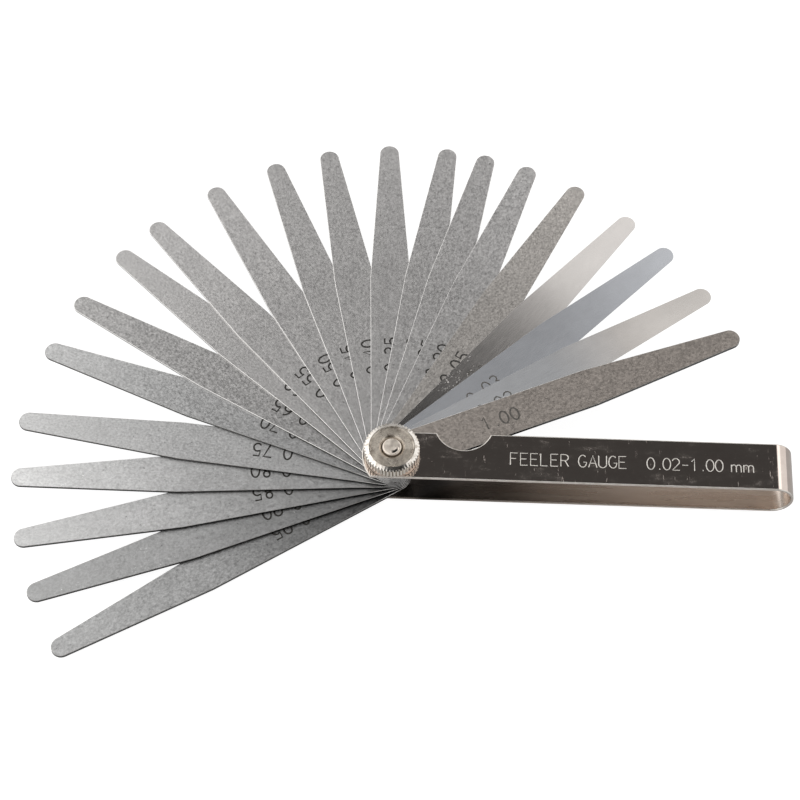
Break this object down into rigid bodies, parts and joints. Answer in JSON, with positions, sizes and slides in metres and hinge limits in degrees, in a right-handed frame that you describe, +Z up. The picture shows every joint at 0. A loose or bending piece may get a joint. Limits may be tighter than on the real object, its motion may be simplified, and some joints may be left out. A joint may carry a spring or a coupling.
{
  "type": "feeler gauge",
  "caption": "Feeler gauge: tapered steel thickness blades fanned out on a pivot screw in a U-bent strip case, clamped by a knurled thumb nut.",
  "frame": {"origin": "centre of the pivot screw head's flat underside, the lowest face, on the pivot axis", "axes": "+Z up along the pivot axis towards the thumb nut, +X along the case towards its bend, +Y the side with the thumb notches"},
  "size_m": [0.1991, 0.151, 0.0175],
  "materials": {
    "case_plate": "polished nickel plate on bent steel strip, fine scratches",
    "blade_steel": "ground spring steel, fine grain along the blade, etched numerals",
    "foil_steel": "bright rolled spring steel foil, slightly wavy",
    "nut_plate": "nickel plate over turned faces and straight knurling",
    "screw_steel": "nickel-plated steel, satin"
  },
  "bodies": {
    "case": {"case": "case_plate", "pivot_screw": "screw_steel"},
    "blade_1_00": {"blade_1_00": "blade_steel"},
    "blade_0_02": {"blade_0_02": "foil_steel"},
    "blade_0_03": {"blade_0_03": "foil_steel"},
    "blade_0_04": {"blade_0_04": "foil_steel"},
    "blade_0_05": {"blade_0_05": "foil_steel"},
    "blade_0_20": {"blade_0_20": "blade_steel"},
    "blade_0_25": {"blade_0_25": "blade_steel"},
    "blade_0_30": {"blade_0_30": "blade_steel"},
    "blade_0_35": {"blade_0_35": "blade_steel"},
    "blade_0_40": {"blade_0_40": "blade_steel"},
    "blade_0_45": {"blade_0_45": "blade_steel"},
    "blade_0_50": {"blade_0_50": "blade_steel"},
    "blade_0_55": {"blade_0_55": "blade_steel"},
    "blade_0_60": {"blade_0_60": "blade_steel"},
    "blade_0_65": {"blade_0_65": "blade_steel"},
    "blade_0_70": {"blade_0_70": "blade_steel"},
    "blade_0_75": {"blade_0_75": "blade_steel"},
    "blade_0_80": {"blade_0_80": "blade_steel"},
    "blade_0_85": {"blade_0_85": "blade_steel"},
    "blade_0_90": {"blade_0_90": "blade_steel"},
    "blade_0_95": {"blade_0_95": "blade_steel"},
    "nut_washer": {"nut_washer": "screw_steel"},
    "thumb_nut": {"thumb_nut": "nut_plate"}
  },
  "joints": [
    {"name": "blade_1_00_swing", "type": "hinge", "parent": "case", "child": "blade_1_00", "pos_m": [0, 0, 0.00195], "axis": [0, 0, 1], "range_deg": [-23.5, 336.5]},
    {"name": "blade_0_02_swing", "type": "hinge", "parent": "case", "child": "blade_0_02", "pos_m": [0, 0, 0.00195], "axis": [0, 0, 1], "range_deg": [-32.5, 327.5]},
    {"name": "blade_0_03_swing", "type": "hinge", "parent": "case", "child": "blade_0_03", "pos_m": [0, 0, 0.00195], "axis": [0, 0, 1], "range_deg": [-42.1, 317.9]},
    {"name": "blade_0_04_swing", "type": "hinge", "parent": "case", "child": "blade_0_04", "pos_m": [0, 0, 0.00195], "axis": [0, 0, 1], "range_deg": [-50.5, 309.5]},
    {"name": "blade_0_05_swing", "type": "hinge", "parent": "case", "child": "blade_0_05", "pos_m": [0, 0, 0.00195], "axis": [0, 0, 1], "range_deg": [-60.5, 299.5]},
    {"name": "blade_0_20_swing", "type": "hinge", "parent": "case", "child": "blade_0_20", "pos_m": [0, 0, 0.00195], "axis": [0, 0, 1], "range_deg": [-69.3, 290.7]},
    {"name": "blade_0_25_swing", "type": "hinge", "parent": "case", "child": "blade_0_25", "pos_m": [0, 0, 0.00195], "axis": [0, 0, 1], "range_deg": [-76.5, 283.5]},
    {"name": "blade_0_30_swing", "type": "hinge", "parent": "case", "child": "blade_0_30", "pos_m": [0, 0, 0.00195], "axis": [0, 0, 1], "range_deg": [-82.9, 277.1]},
    {"name": "blade_0_35_swing", "type": "hinge", "parent": "case", "child": "blade_0_35", "pos_m": [0, 0, 0.00195], "axis": [0, 0, 1], "range_deg": [-92.5, 267.5]},
    {"name": "blade_0_40_swing", "type": "hinge", "parent": "case", "child": "blade_0_40", "pos_m": [0, 0, 0.00195], "axis": [0, 0, 1], "range_deg": [-102.5, 257.5]},
    {"name": "blade_0_45_swing", "type": "hinge", "parent": "case", "child": "blade_0_45", "pos_m": [0, 0, 0.00195], "axis": [0, 0, 1], "range_deg": [-111.6, 248.4]},
    {"name": "blade_0_50_swing", "type": "hinge", "parent": "case", "child": "blade_0_50", "pos_m": [0, 0, 0.00195], "axis": [0, 0, 1], "range_deg": [-122.3, 237.7]},
    {"name": "blade_0_55_swing", "type": "hinge", "parent": "case", "child": "blade_0_55", "pos_m": [0, 0, 0.00195], "axis": [0, 0, 1], "range_deg": [-133.7, 226.3]},
    {"name": "blade_0_60_swing", "type": "hinge", "parent": "case", "child": "blade_0_60", "pos_m": [0, 0, 0.00195], "axis": [0, 0, 1], "range_deg": [-141.1, 218.9]},
    {"name": "blade_0_65_swing", "type": "hinge", "parent": "case", "child": "blade_0_65", "pos_m": [0, 0, 0.00195], "axis": [0, 0, 1], "range_deg": [-151.8, 208.2]},
    {"name": "blade_0_70_swing", "type": "hinge", "parent": "case", "child": "blade_0_70", "pos_m": [0, 0, 0.00195], "axis": [0, 0, 1], "range_deg": [-161.2, 198.8]},
    {"name": "blade_0_75_swing", "type": "hinge", "parent": "case", "child": "blade_0_75", "pos_m": [0, 0, 0.00195], "axis": [0, 0, 1], "range_deg": [-174, 186]},
    {"name": "blade_0_80_swing", "type": "hinge", "parent": "case", "child": "blade_0_80", "pos_m": [0, 0, 0.00195], "axis": [0, 0, 1], "range_deg": [-183.6, 176.4]},
    {"name": "blade_0_85_swing", "type": "hinge", "parent": "case", "child": "blade_0_85", "pos_m": [0, 0, 0.00195], "axis": [0, 0, 1], "range_deg": [-193.8, 166.2]},
    {"name": "blade_0_90_swing", "type": "hinge", "parent": "case", "child": "blade_0_90", "pos_m": [0, 0, 0.00195], "axis": [0, 0, 1], "range_deg": [-203, 157]},
    {"name": "blade_0_95_swing", "type": "hinge", "parent": "case", "child": "blade_0_95", "pos_m": [0, 0, 0.00195], "axis": [0, 0, 1], "range_deg": [-212.7, 147.3]},
    {"name": "thumb_nut_turn", "type": "hinge", "parent": "nut_washer", "child": "thumb_nut", "pos_m": [0, 0, 0.01326], "axis": [0, 0, 1], "range_deg": [0, 360]},
    {"name": "nut_washer_lift", "type": "slide", "parent": "case", "child": "nut_washer", "axis": [0, 0, 1], "range_m": [0, 0.00081]}
  ],
  "couplings": [
    {"joint": "nut_washer_lift", "follows": "thumb_nut_turn", "m_per_rad": 0.00012732}
  ]
}
